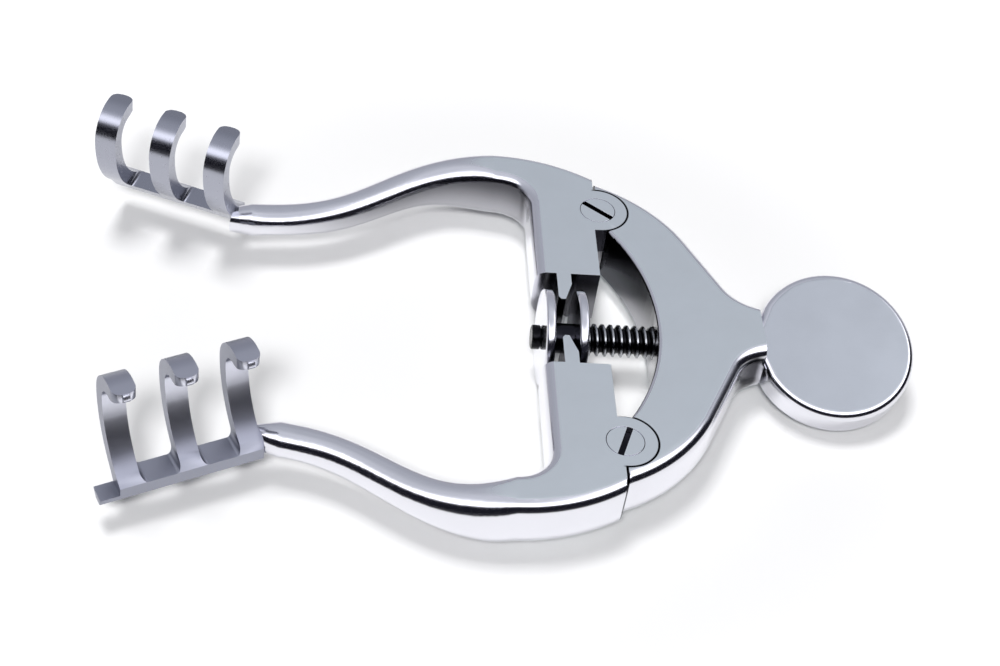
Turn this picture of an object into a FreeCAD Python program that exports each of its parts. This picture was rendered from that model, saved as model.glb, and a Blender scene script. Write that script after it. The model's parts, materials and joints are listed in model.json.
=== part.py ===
"""Self retaining retractor, small, with a thumb screw: parametric model in millimetres.

A bow shaped yoke carries two arms on slotted pivot screws. A spindle runs through the neck
of the yoke and pushes a spool to and fro; a finger on each arm sits in the groove of the
spool, so turning the thumb disc swings both arms together. A three pronged rake is brazed
to the end of each arm.

The model is drawn from the line through the two pivots, with +X towards the thumb disc,
+Y towards the upper arm and +Z the way the prongs point. Each body is then set back by
pivot_setback, which puts the origin on the underside of the yoke, below its crown.
"""
import FreeCAD
import Part
import math
import os

import Sketcher
from FreeCAD import Placement, Rotation, Vector

# name, value, what it measures
SIZES = [
    ("plate_depth", 5.2, "thickness of the yoke and of the arms at their pivots"),
    ("edge_round_top", 1.0, "rounding of the outer edges above"),
    ("edge_round_under", 1.8, "rounding of the outer edges below"),
    ("pivot_setback", 8.7, "from the line of the pivots back to the origin"),
    ("pivot_spread", 14.0, "from the middle to each pivot"),
    ("arm_angle_gap", 0.2, "gap between the end of the yoke and the arm"),
    # yoke
    ("yoke_reach", 4.05, "from each pivot out to the outer wall"),
    ("bow_radius", 15.1, "outer curve of the bow"),
    ("flank_start", 7.4, "from the outer wall in to where the curve runs into the straight flank"),
    ("flank_angle", 64.0, "slope of the flank against the spindle"),
    ("neck_sweep", 4.1, "hollow curve from the flank to the neck"),
    ("neck_end", 13.3, "end of the neck, from the line of the pivots"),
    ("neck_half", 2.9, "half width of the neck at its end"),
    ("window_depth", 4.05, "inner curve of the bow at the spindle"),
    ("window_radius", 21.0, "inner curve of the bow"),
    ("window_edge_break", 0.3, "small rounding of the inner edges"),
    ("cut_margin", 1.0, "how far a cut runs on past the piece"),
    ("tab_radius", 2.62, "lower half lap of the yoke, about the pivot"),
    ("tongue_radius", 2.7, "upper half lap of the arm, about the pivot"),
    ("lap_play", 0.08, "running clearance round each half lap"),
    ("lap_gap", 0.05, "clearance between the two half laps"),
    # pivot screws
    ("screw_shank", 0.95, "radius of the pivot screw's shank"),
    ("screw_head", 1.55, "radius of its head"),
    ("screw_head_depth", 1.2, "depth of its head"),
    ("screw_play", 0.05, "running clearance in the arm"),
    ("slot_width", 0.5, "driver slot"),
    ("slot_depth", 0.6, "driver slot"),
    ("screw_foot", 0.2, "foot of the screw above the underside of the yoke"),
    ("slot_turn_upper", 141.0, "how the upper screw's slot lies"),
    ("slot_turn_lower", 70.5, "how the lower screw's slot lies"),
    # arms
    ("bend_reach", 9.0, "from the line of the pivots to the outer bend"),
    ("bend_outer", 3.4, "outer wall at the bend, out from the yoke's outer wall"),
    ("bend_width", 3.7, "width of the arm at the bend"),
    ("arm_outer_radius", 16.6, "outer curve of the arm, which runs straight into the rod"),
    ("tail_front", 6.1, "front edge of the tail, from the line of the pivots"),
    ("tail_rear", 0.45, "rear edge of the tail"),
    ("tail_end", 5.4, "end of the tail, from the middle"),
    ("finger_front", 4.3, "front edge of the finger"),
    ("finger_width", 1.25, "width of the finger at its root"),
    ("finger_tip", 2.2, "tip of the finger, from the middle"),
    ("finger_tip_width", 0.6, "width of the finger at its tip"),
    ("finger_taper", 1.9, "length of the relieved side of the finger"),
    # rod of the arm, at four stations between the bend and the rake
    ("rod_a_reach", 12.4, "first station"),
    ("rod_a_spread", 1.7, "first station, in from the outer wall of the bend"),
    ("rod_a_lean", 8.0, "first station"),
    ("rod_a_width", 3.3, "first station"),
    ("rod_a_depth", 4.7, "first station"),
    ("rod_b_reach", 16.0, "second station"),
    ("rod_b_spread", 2.75, "second station, in from the outer wall of the bend"),
    ("rod_b_lean", 24.0, "second station"),
    ("rod_b_width", 2.95, "second station"),
    ("rod_b_depth", 3.6, "second station"),
    ("rod_c_reach", 20.3, "third station"),
    ("rod_c_spread", 5.4, "third station, in from the outer wall of the bend"),
    ("rod_c_lean", 33.0, "third station"),
    ("rod_c_width", 2.85, "third station"),
    ("rod_c_depth", 3.0, "third station"),
    ("rod_d_reach", 25.0, "fourth station"),
    ("rod_d_spread", 7.7, "fourth station, in from the outer wall of the bend"),
    ("rod_d_lean", 19.0, "fourth station"),
    ("rod_flat", 0.3, "flat left between the corners of the rod"),
    ("rod_end_lean", 5.0, "last station, just before the rake"),
    ("rod_end_width", 2.8, "rod at the rake"),
    ("rod_end_depth", 2.75, "rod at the rake"),
    ("rod_foot", 1.6, "last piece of the rod, which turns square to the rake"),
    ("rod_face", 2.2, "width and depth of the rod where it meets the rake"),
    ("upper_reach", 32.3, "end of the upper rod, from the line of the pivots"),
    ("upper_spread", 8.5, "end of the upper rod, in from the outer wall of the bend"),
    ("lower_reach", 29.2, "end of the lower rod, from the line of the pivots"),
    ("lower_spread", 8.3, "end of the lower rod, in from the outer wall of the bend"),
    # rakes
    ("upper_splay", 20.5, "angle of the upper bar against the spindle"),
    ("lower_splay", 24.4, "angle of the lower bar against the spindle"),
    ("upper_shift", 0.2, "inner edge of the upper bar's top, out from the middle of the rod"),
    ("lower_shift", -1.0, "inner edge of the lower bar's top, out from the middle of the rod"),
    ("prong_pitch", 5.0, "spacing of the prongs"),
    ("prong_width", 1.95, "width of a prong at its tip"),
    ("slot_floor", 3.3, "gap between two prongs at the bar"),
    ("slot_corner", 0.5, "rounding at the foot of a gap"),
    ("bar_under", 1.2, "underside of the bar above the underside of the yoke"),
    ("bar_floor", 2.6, "top of the bar"),
    ("bar_width", 2.2, "width of the top of the bar"),
    ("bar_taper", 1.1, "how much narrower the bar is below, on its inner side"),
    ("bar_edge", 0.3, "bevel of the lower outer edge"),
    ("prong_hook", 9.1, "height where the hook of a prong starts"),
    ("prong_bulge", 3.0, "how far the back of a prong curves in past the bar"),
    ("hook_radius", 2.78, "outer radius of the hook"),
    ("prong_thick", 1.25, "thickness of a prong"),
    ("tip_thick", 0.9, "thickness of a tip"),
    ("hook_droop", 6.0, "slope of the tip"),
    ("tip_reach", 0.9, "length of the tip after the hook"),
    ("tip_corner", 0.7, "rounded corner of a tip"),
    ("stub_length", 1.6, "bare end of the lower bar"),
    ("stub_step", 0.7, "how far the bare end is cut down"),
    # spindle and spool
    ("thread_radius", 1.4, "outside of the thread"),
    ("thread_play", 0.05, "clearance in the neck"),
    ("journal_radius", 0.8, "front end of the spindle"),
    ("journal_play", 0.05, "clearance in the spool"),
    ("spool_front", 5.72, "front face of the spool, from the line of the pivots"),
    ("spool_rear", 2.08, "rear face of the spool"),
    ("flange_thick", 0.82, "each flange"),
    ("flange_radius", 4.2, "each flange"),
    ("flange_edge", 0.15, "bevel of a flange"),
    ("core_radius", 1.3, "between the flanges"),
    ("end_play", 0.05, "of the spool on the spindle"),
    ("collar_radius", 1.05, "retaining collar"),
    ("collar_length", 0.75, "retaining collar"),
    # thumb disc
    ("disc_radius", 7.0, "thumb disc"),
    ("disc_centre", 6.45, "centre of the disc, from its seat on the neck"),
    ("disc_thick", 3.2, "thumb disc"),
    ("disc_round", 0.7, "rounding of its rim"),
    ("disc_seat", 0.15, "gap between the neck and the disc"),
    ("stem_half", 2.6, "half width of the disc's stem"),
    ("stem_length", 0.35, "straight flank of the stem, along the spindle"),
    ("tenon_radius", 1.1, "end of the spindle in the disc"),
    ("tenon_length", 4.0, "end of the spindle in the disc"),
    ("disc_turn", 19.0, "how far the disc is turned about the spindle"),
]

# thickness of a tip over the radius of its blunt end; just under two, so nearly a half circle
TIP_BLUNTNESS = 1.9


class Dim:
    """A size together with the formula that the document keeps for it."""

    def __init__(self, value, text=None):
        self.value = float(value)
        self.text = text if text is not None else repr(float(value))

    @staticmethod
    def of(thing):
        return thing if isinstance(thing, Dim) else Dim(thing)

    def _join(self, other, sign, value):
        return Dim(value, "(%s %s %s)" % (self.text, sign, other.text))

    def __add__(self, other):
        other = Dim.of(other)
        return self._join(other, "+", self.value + other.value)

    def __radd__(self, other):
        return Dim.of(other) + self

    def __sub__(self, other):
        other = Dim.of(other)
        return self._join(other, "-", self.value - other.value)

    def __rsub__(self, other):
        return Dim.of(other) - self

    def __mul__(self, other):
        other = Dim.of(other)
        return self._join(other, "*", self.value * other.value)

    def __rmul__(self, other):
        return Dim.of(other) * self

    def __truediv__(self, other):
        other = Dim.of(other)
        return self._join(other, "/", self.value / other.value)

    def __neg__(self):
        return Dim(-self.value, "(0 - %s)" % self.text)


def dsin(angle):
    return Dim(math.sin(math.radians(angle.value)), "sin(%s)" % angle.text)


def dcos(angle):
    return Dim(math.cos(math.radians(angle.value)), "cos(%s)" % angle.text)


def droot(value):
    return Dim(math.sqrt(value.value), "sqrt(%s)" % value.text)


class Sheet:
    """The driving sizes, as cells of the document's spreadsheet."""

    def __init__(self, doc):
        self.cells = doc.addObject("Spreadsheet::Sheet", "Sizes")
        self.dims = {}
        for row, (name, value, note) in enumerate(SIZES, start=1):
            self.cells.set("A%d" % row, name)
            self.cells.set("B%d" % row, str(value))
            self.cells.set("C%d" % row, note)
            self.cells.setAlias("B%d" % row, name)
            self.dims[name] = Dim(value, "Sizes.%s" % name)
        doc.recompute()

    def __getattr__(self, name):
        return self.dims[name]


doc = FreeCAD.newDocument("Retractor")
S = Sheet(doc)

# outer wall of the yoke at the pivots, which the arms take up
OUTER_WALL = S.pivot_spread + S.yoke_reach


def bind(thing, prop, dim):
    """Set a property now, and keep it tied to its formula."""
    thing.setExpression(prop, Dim.of(dim).text)


def new_body(name, along=None, across=None, up=None, turn=None, axis=None):
    """A body for one piece, placed from the line of the pivots."""
    body = doc.addObject("PartDesign::Body", name)
    body.Label = name
    turn = Dim.of(turn or 0)
    body.Placement = Placement(Vector(0, 0, 0), Rotation(axis or Vector(0, 0, 1), turn.value or 1e-9))
    bind(body, "Placement.Base.x", Dim.of(along or 0) - S.pivot_setback)
    bind(body, "Placement.Base.y", Dim.of(across or 0))
    bind(body, "Placement.Base.z", Dim.of(up or 0))
    if turn.value:
        bind(body, "Placement.Rotation.Angle", turn)
    return body


def plane_of(body, role):
    return [f for f in body.Origin.OriginFeatures if f.Role == role][0]


def new_sketch(body, name, role="XY_Plane", offset=None, turn=None):
    """A sketch on one of the body's own planes, lifted by offset = (x, y, z) and turned."""
    sketch = body.newObject("Sketcher::SketchObject", name)
    sketch.AttachmentSupport = [(plane_of(body, role), "")]
    sketch.MapMode = "FlatFace"
    if turn is not None:
        axis, angle = turn
        sketch.AttachmentOffset = Placement(Vector(0, 0, 0), Rotation(axis, angle.value))
        bind(sketch, "AttachmentOffset.Rotation.Angle", angle)
    if offset is not None:
        for letter, dim in zip("xyz", offset):
            bind(sketch, "AttachmentOffset.Base.%s" % letter, dim)
    return sketch


def hold(sketch, kind, *where, dim=None):
    """Add a constraint, tied to its size where it has one."""
    if dim is None:
        return sketch.addConstraint(Sketcher.Constraint(kind, *where))
    index = sketch.addConstraint(Sketcher.Constraint(kind, *where, Dim.of(dim).value))
    sketch.setExpression("Constraints[%d]" % index, Dim.of(dim).text)
    return index


def pin(sketch, edge, end, x, y):
    """Hold a point of the sketch at x and y from its origin."""
    for axis, kind, dim in ((-2, "DistanceX", x), (-1, "DistanceY", y)):
        if dim is None:
            continue
        if Dim.of(dim).value == 0:
            hold(sketch, "PointOnObject", edge, end, axis)
        else:
            hold(sketch, kind, -1, 1, edge, end, dim=dim)


def circle(sketch, x, y, radius):
    x, y, radius = Dim.of(x), Dim.of(y), Dim.of(radius)
    edge = sketch.addGeometry(Part.Circle(Vector(x.value, y.value, 0), Vector(0, 0, 1), radius.value))
    pin(sketch, edge, 3, x, y)
    hold(sketch, "Radius", edge, dim=radius)
    return edge


def arc_edge(start, end, radius, turn):
    """Arc between two points that bends left (turn 1) or right (turn -1) on its way."""
    chord = end - start
    mid = (start + end) * 0.5
    rise = math.sqrt(max(radius * radius - chord.Length * chord.Length / 4, 0))
    side = Vector(-chord.y, chord.x, 0).normalize()
    centre = mid + side * rise * turn
    first, last = (start, end) if turn > 0 else (end, start)
    a = math.atan2(first.y - centre.y, first.x - centre.x)
    b = math.atan2(last.y - centre.y, last.x - centre.x)
    return Part.ArcOfCircle(Part.Circle(centre, Vector(0, 0, 1), radius), a, b)


class Corner:
    """A corner of an outline and the edge that leaves it for the next corner."""

    def __init__(self, x, y, radius=None, turn=1, slope=None, smooth=False, guess=None):
        self.x = None if x is None else Dim.of(x)
        self.y = None if y is None else Dim.of(y)
        self.radius, self.turn, self.slope, self.smooth = radius, turn, slope, smooth
        seen = guess or (0, 0)
        self.spot = Vector(self.x.value if self.x else seen[0], self.y.value if self.y else seen[1], 0)


def outline(sketch, corners):
    """Closed outline through the corners, of lines and of arcs of the given radii."""
    count = len(corners)
    ends = []
    for i, corner in enumerate(corners):
        there = corners[(i + 1) % count].spot
        if corner.radius is None:
            edge = sketch.addGeometry(Part.LineSegment(corner.spot, there))
            ends.append((edge, 1, 2))
        else:
            edge = sketch.addGeometry(arc_edge(corner.spot, there, corner.radius.value, corner.turn))
            ends.append((edge, 1, 2) if corner.turn > 0 else (edge, 2, 1))
    for i, corner in enumerate(corners):
        before, here = ends[i - 1], ends[i]
        if corner.smooth:
            hold(sketch, "Tangent", before[0], before[2], here[0], here[1])
        else:
            hold(sketch, "Coincident", before[0], before[2], here[0], here[1])
        pin(sketch, here[0], here[1], corner.x, corner.y)
        if corner.radius is not None:
            hold(sketch, "Radius", here[0], dim=corner.radius)
        if corner.slope is not None:
            hold(sketch, "Angle", here[0], dim=corner.slope)
    return ends


def pad(body, sketch, length, name, reverse=False, midplane=False):
    feature = body.newObject("PartDesign::Pad", name)
    feature.Profile = sketch
    bind(feature, "Length", length)
    feature.Reversed = reverse
    feature.Midplane = midplane
    doc.recompute()
    return feature


def pocket(body, sketch, length, name, reverse=False, midplane=False):
    """Cut, and make sure that it took something away."""
    before = body.Shape.Volume
    feature = body.newObject("PartDesign::Pocket", name)
    feature.Profile = sketch
    bind(feature, "Length", length)
    feature.Reversed = reverse
    feature.Midplane = midplane
    doc.recompute()
    if not body.Shape.Volume < before - 1e-6:
        raise RuntimeError("%s cuts nothing" % name)
    return feature


def fillet(body, base, chosen, radius, name):
    """Round the edges of the last feature that the test picks."""
    doc.recompute()
    edges = ["Edge%d" % (i + 1) for i, e in enumerate(base.Shape.Edges) if chosen(e)]
    if not edges:
        raise RuntimeError("%s finds no edge" % name)
    feature = body.newObject("PartDesign::Fillet", name)
    feature.Base = (base, edges)
    bind(feature, "Radius", radius)
    doc.recompute()
    return feature


def revolve(body, sketch, name):
    feature = body.newObject("PartDesign::Revolution", name)
    feature.Profile = sketch
    feature.ReferenceAxis = (sketch, ["H_Axis"])
    feature.Angle = 360.0
    doc.recompute()
    return feature


def middle(edge):
    first, last = edge.ParameterRange
    return edge.valueAt((first + last) / 2)


def level(edge, height):
    """True where the whole edge lies at one height."""
    box = edge.BoundBox
    return abs(box.ZMin - height) < 1e-4 and abs(box.ZMax - height) < 1e-4


def build_yoke():
    """Bow shaped plate with the neck, the half laps at the pivots and the spindle's hole."""
    body = new_body("yoke")
    sketch = new_sketch(body, "bow")
    flank = S.flank_angle
    flank_y = OUTER_WALL - S.flank_start
    half = []
    for side in (1, -1):
        start = Corner(0, side * OUTER_WALL, S.bow_radius, -1)
        top = Corner(None, side * flank_y, smooth=True, guess=(7.9, 0), slope=-1 * flank)
        foot = Corner(None, None, S.neck_sweep, 1, smooth=True, guess=(10.6, side * 5.1))
        half.append([start, top, foot, Corner(S.neck_end, side * S.neck_half)])
    # the lower half is run from the neck back to the pivot
    upper, lower = half
    window_end = droot(2 * S.window_radius * S.window_depth - S.window_depth * S.window_depth)
    lower_path = [
        Corner(S.neck_end, -S.neck_half, S.neck_sweep, 1),
        Corner(None, None, smooth=True, guess=(10.6, -5.1), slope=180 + flank),
        Corner(None, -flank_y, S.bow_radius, -1, smooth=True, guess=(7.9, 0)),
        Corner(0, -OUTER_WALL),
        Corner(0, -window_end, S.window_radius, 1),
        Corner(0, window_end),
    ]
    outline(sketch, upper + lower_path)
    plate = pad(body, sketch, S.plate_depth, "bow plate")

    sketch = new_sketch(body, "tabs")
    for side in (1, -1):
        circle(sketch, 0, side * S.pivot_spread, S.tab_radius)
    tabs = pad(body, sketch, S.plate_depth / 2, "lower half laps")

    def outer(edge, height):
        spot = middle(edge)
        wall = edge.BoundBox.XMax > 0.01 and spot.x > 0.5
        inside = math.hypot(spot.x + S.window_radius.value - S.window_depth.value, spot.y)
        on_window = abs(inside - S.window_radius.value) < 0.2
        at_end = abs(spot.x - S.neck_end.value) < 1e-4
        near_pivot = math.hypot(spot.x, abs(spot.y) - S.pivot_spread.value) < S.tab_radius.value + 0.2
        return level(edge, height) and wall and not on_window and not at_end and not near_pivot

    top = fillet(body, tabs, lambda e: outer(e, S.plate_depth.value), S.edge_round_top, "rounded above")
    under = fillet(body, top, lambda e: outer(e, 0), S.edge_round_under, "rounded below")

    def window(edge):
        inside = math.hypot(middle(edge).x + S.window_radius.value - S.window_depth.value, middle(edge).y)
        return level(edge, S.plate_depth.value) and abs(inside - S.window_radius.value) < 1e-3
    fillet(body, under, window, S.window_edge_break, "window edge broken")

    sketch = new_sketch(body, "recesses", offset=(0, 0, S.plate_depth / 2))
    for side in (1, -1):
        circle(sketch, 0, side * S.pivot_spread, S.tongue_radius + S.lap_play)
    pocket(body, sketch, S.plate_depth, "upper half laps", reverse=True)

    sketch = new_sketch(body, "screw holes")
    for side in (1, -1):
        circle(sketch, 0, side * S.pivot_spread, S.screw_shank)
    pocket(body, sketch, S.plate_depth, "tapped holes", reverse=True)

    sketch = new_sketch(body, "spindle hole", "YZ_Plane")
    circle(sketch, 0, S.plate_depth / 2, S.thread_radius + S.thread_play)
    pocket(body, sketch, S.neck_end + S.cut_margin, "spindle bore", reverse=True)
    return body


def rod_section(body, name, side, reach, spread, lean, width, depth, top, under):
    """Rounded section of the rod, square to its run, at one station."""
    turn = (Vector(0, 1, 0), side * lean)
    offset = (side * Dim.of(spread), S.plate_depth / 2, -Dim.of(reach))
    sketch = new_sketch(body, name, "YZ_Plane", offset, turn)
    w, d = width / 2, depth / 2
    outline(sketch, [
        Corner(-w + under, -d),
        Corner(w - under, -d, under, 1),
        Corner(w, -d + under),
        Corner(w, d - top, top, 1),
        Corner(w - top, d),
        Corner(-w + top, d, top, 1),
        Corner(-w, d - top),
        Corner(-w, -d + under, under, 1),
    ])
    return sketch


def build_arm(name, side, end_reach, end_spread, splay):
    """Arm with its tail and finger, its half lap at the pivot and its curved rod."""
    body = new_body(name)
    sketch = new_sketch(body, "tail and bend")
    hollow = S.tail_front
    bend_outer = OUTER_WALL + S.bend_outer
    bend_inner = bend_outer - S.bend_width
    radius, run = S.arm_outer_radius, S.bend_reach - S.arm_angle_gap
    shoulder = bend_outer - radius + droot(radius * radius - run * run)
    sweep = S.bend_reach - hollow
    finger_rear = S.finger_front - S.finger_width
    tip_rear = S.finger_front - S.finger_tip_width

    def at(x, y, *rest, **more):
        return Corner(x, side * Dim.of(y), *rest, **more)

    outline(sketch, [
        at(-S.arm_angle_gap, shoulder, radius, side),
        at(-S.bend_reach, bend_outer),
        at(-S.bend_reach, bend_inner, sweep, -side),
        at(-hollow, bend_inner - sweep),
        at(-hollow, S.tail_end),
        at(-S.finger_front, S.tail_end),
        at(-S.finger_front, S.finger_tip + S.finger_tip_width / 2),
        at(-S.finger_front + S.finger_tip_width / 3, S.finger_tip),
        at(-tip_rear, S.finger_tip),
        at(-finger_rear, S.finger_tip + S.finger_taper),
        at(-finger_rear, S.tail_end),
        at(-S.tail_rear, S.tail_end),
        at(-S.tail_rear, S.pivot_spread),
        at(-S.arm_angle_gap, S.pivot_spread),
    ])
    plate = pad(body, sketch, S.plate_depth, "arm plate")

    def outer(edge, height):
        spot = middle(edge)
        bend = spot.y * side > bend_inner.value - sweep.value and spot.x < -S.arm_angle_gap.value - 0.1
        at_end = abs(spot.x + S.bend_reach.value) < 1e-4
        return level(edge, height) and bend and not at_end

    top = fillet(body, plate, lambda e: outer(e, S.plate_depth.value), S.edge_round_top, "rounded above")
    under = fillet(body, top, lambda e: outer(e, 0), S.edge_round_under, "rounded below")

    stations = [
        rod_section(body, "rod at bend", side, S.bend_reach, bend_outer - S.bend_width / 2,
                    Dim(0), S.bend_width, S.plate_depth, S.edge_round_top, S.edge_round_under)]
    for letter in "abcd":
        size = {k: S.dims["rod_%s_%s" % (letter, k)] for k in ("reach", "spread", "lean")}
        like = letter if letter != "d" else None
        width = S.dims["rod_%s_width" % like] if like else S.rod_end_width
        depth = S.dims["rod_%s_depth" % like] if like else S.rod_end_depth
        corner = width / 2 - S.rod_flat / 2
        stations.append(rod_section(body, "rod station " + letter, side, size["reach"],
                                    bend_outer - size["spread"], size["lean"], width, depth, corner, corner))
    corner = S.rod_end_width / 2 - S.rod_flat / 2
    spread = bend_outer - end_spread
    end = rod_section(body, "rod end", side, end_reach - S.rod_foot, spread, S.rod_end_lean,
                      S.rod_end_width, S.rod_end_depth, corner, corner)
    corner = S.rod_face / 2 - S.rod_flat / 2
    face = rod_section(body, "rake face", side, end_reach, spread, -splay,
                       S.rod_face, S.rod_face, corner, corner)
    loft = body.newObject("PartDesign::AdditiveLoft", "rod")
    loft.Profile = stations[0]
    loft.Sections = stations[1:] + [end]
    doc.recompute()
    foot = body.newObject("PartDesign::AdditiveLoft", "rod foot")
    foot.Profile = end
    foot.Sections = [face]
    foot.Ruled = True
    doc.recompute()

    sketch = new_sketch(body, "recess")
    circle(sketch, 0, side * S.pivot_spread, S.tab_radius + S.lap_play)
    pocket(body, sketch, S.plate_depth / 2 + S.lap_gap, "lower half lap", reverse=True)

    sketch = new_sketch(body, "tongue", offset=(0, 0, S.plate_depth / 2 + S.lap_gap))
    circle(sketch, 0, side * S.pivot_spread, S.tongue_radius)
    pad(body, sketch, S.plate_depth / 2 - S.lap_gap, "upper half lap")

    sketch = new_sketch(body, "screw hole")
    circle(sketch, 0, side * S.pivot_spread, S.screw_shank + S.screw_play)
    pocket(body, sketch, S.plate_depth + S.cut_margin, "screw bore", reverse=True)

    sketch = new_sketch(body, "screw seat", offset=(0, 0, S.plate_depth - S.screw_head_depth - S.lap_gap))
    circle(sketch, 0, side * S.pivot_spread, S.screw_head + S.screw_play)
    pocket(body, sketch, S.plate_depth, "head seat", reverse=True)
    return body


def build_rake(name, side, reach, spread, splay, shift, stub):
    """Rake: a bar with three hooked prongs, milled from one profile."""
    bend_outer = OUTER_WALL + S.bend_outer
    body = new_body(name, along=-reach, across=side * (bend_outer - spread), turn=180 - side * splay)
    out = -side
    sketch = new_sketch(body, "profile", "YZ_Plane")
    rise = S.prong_hook - S.bar_floor
    back_radius = (S.prong_bulge * S.prong_bulge + rise * rise) / (2 * S.prong_bulge)
    front_radius = back_radius - S.prong_thick
    back_u = shift - S.prong_bulge
    hook_u = back_u + S.hook_radius
    outer_u = shift + S.bar_width
    inner = S.hook_radius - S.prong_thick
    lean_u, lean_z = dsin(S.hook_droop), dcos(S.hook_droop)
    tip_x = hook_u + S.hook_radius * lean_u + S.tip_reach * lean_z
    tip_z = S.prong_hook + S.hook_radius * lean_z - S.tip_reach * lean_u
    reach_u = back_u + back_radius - outer_u
    root_z = S.prong_hook - droot(front_radius * front_radius - reach_u * reach_u)

    def at(u, z, *rest, **more):
        return Corner(out * Dim.of(u), z, *rest, **more)

    outline(sketch, [
        at(shift + S.bar_taper, S.bar_under),
        at(outer_u - S.bar_edge, S.bar_under),
        at(outer_u, S.bar_under + S.bar_edge),
        at(outer_u, root_z, front_radius, -out),
        at(back_u + S.prong_thick, S.prong_hook, inner, -out),
        at(hook_u + inner * lean_u, S.prong_hook + inner * lean_z),
        at(tip_x - S.tip_thick * lean_u, tip_z - S.tip_thick * lean_z, S.tip_thick / TIP_BLUNTNESS, out),
        at(tip_x, tip_z),
        at(hook_u + S.hook_radius * lean_u, S.prong_hook + S.hook_radius * lean_z, S.hook_radius, out),
        at(back_u, S.prong_hook, back_radius, out),
        at(shift, S.bar_floor),
    ])
    length = 2 * S.prong_pitch + S.prong_width
    if stub:
        length = length + S.stub_length
    bar = pad(body, sketch, length, "bar")

    sketch = new_sketch(body, "gap", "XZ_Plane")
    mouth = S.prong_pitch - S.prong_width
    left = S.prong_width - (S.slot_floor - mouth) / 2
    tall = S.prong_hook + S.hook_radius + S.cut_margin
    outline(sketch, [
        Corner(left + S.slot_corner, S.bar_floor),
        Corner(left + S.slot_floor - S.slot_corner, S.bar_floor, S.slot_corner, 1),
        Corner(left + S.slot_floor, S.bar_floor + S.slot_corner),
        Corner(S.prong_pitch, tall),
        Corner(S.prong_width, tall),
        Corner(left, S.bar_floor + S.slot_corner, S.slot_corner, 1),
    ])
    gap = pocket(body, sketch, 2 * tall, "gap between prongs", midplane=True)
    pattern = body.newObject("PartDesign::LinearPattern", "gaps")
    pattern.Originals = [gap]
    pattern.Direction = (plane_of(body, "X_Axis"), [""])
    pattern.Mode = "Spacing"
    pattern.Occurrences = 2
    bind(pattern, "Offset", S.prong_pitch)
    body.Tip = pattern
    doc.recompute()
    if stub:
        sketch = new_sketch(body, "bare end", "XZ_Plane")
        begin = 2 * S.prong_pitch + S.prong_width
        low = S.bar_floor - S.stub_step
        outline(sketch, [
            Corner(begin, low),
            Corner(length + S.cut_margin, low),
            Corner(length + S.cut_margin, tall),
            Corner(begin, tall),
        ])
        pocket(body, sketch, 2 * tall, "bare end of the bar", midplane=True)

    for number in range(2):
        sketch = new_sketch(body, "tip corner %d" % number, offset=(0, 0, S.prong_hook))
        edge, way = (Dim(0), 1) if number == 0 else (S.prong_width, -1)
        rim, r = tip_x, S.tip_corner
        outline(sketch, [
            Corner(edge - way * (mouth / 3), out * (rim - r)),
            Corner(edge, out * (rim - r), r, -way * out),
            Corner(edge + way * r, out * rim),
            Corner(edge + way * r, out * (rim + r)),
            Corner(edge - way * (mouth / 3), out * (rim + r)),
        ])
        cut = pocket(body, sketch, 2 * S.hook_radius, "blunt tip %d" % number, reverse=True)
        pattern = body.newObject("PartDesign::LinearPattern", "blunt tips %d" % number)
        pattern.Originals = [cut]
        pattern.Direction = (plane_of(body, "X_Axis"), [""])
        pattern.Mode = "Spacing"
        pattern.Occurrences = 3
        bind(pattern, "Offset", S.prong_pitch)
        body.Tip = pattern
        doc.recompute()
    return body


def build_spindle():
    """Threaded spindle; the thread itself is drawn as its outside cylinder."""
    body = new_body("threaded_spindle", up=S.plate_depth / 2)
    sketch = new_sketch(body, "half section", "XZ_Plane")
    front = -S.spool_front - S.end_play - S.collar_length
    shoulder = -S.spool_rear + S.end_play
    seat = S.neck_end + S.disc_seat
    outline(sketch, [
        Corner(front, 0),
        Corner(front, S.journal_radius),
        Corner(shoulder, S.journal_radius),
        Corner(shoulder, S.thread_radius),
        Corner(seat, S.thread_radius),
        Corner(seat, S.tenon_radius),
        Corner(seat + S.tenon_length, S.tenon_radius),
        Corner(seat + S.tenon_length, 0),
    ])
    revolve(body, sketch, "spindle")
    return body


def build_collar():
    """Collar that keeps the spool on the front end of the spindle."""
    body = new_body("retaining_collar", up=S.plate_depth / 2)
    sketch = new_sketch(body, "half section", "XZ_Plane")
    front = -S.spool_front - S.end_play - S.collar_length
    rear = front + S.collar_length
    outline(sketch, [
        Corner(front, S.journal_radius),
        Corner(front, S.collar_radius),
        Corner(rear, S.collar_radius),
        Corner(rear, S.journal_radius),
    ])
    revolve(body, sketch, "collar")
    return body


def build_spool():
    """Spool with two flanges; the arms' fingers sit in its groove."""
    body = new_body("flanged_spool", up=S.plate_depth / 2)
    sketch = new_sketch(body, "half section", "XZ_Plane")
    bore = S.journal_radius + S.journal_play
    bevel = S.flange_edge
    front, rear, wall = -S.spool_front, -S.spool_rear, S.flange_thick
    rim = S.flange_radius
    outline(sketch, [
        Corner(front, bore),
        Corner(front, rim - bevel),
        Corner(front + bevel, rim),
        Corner(front + wall - bevel, rim),
        Corner(front + wall, rim - bevel),
        Corner(front + wall, S.core_radius),
        Corner(rear - wall, S.core_radius),
        Corner(rear - wall, rim - bevel),
        Corner(rear - wall + bevel, rim),
        Corner(rear - bevel, rim),
        Corner(rear, rim - bevel),
        Corner(rear, bore),
    ])
    revolve(body, sketch, "spool")
    return body


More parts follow.
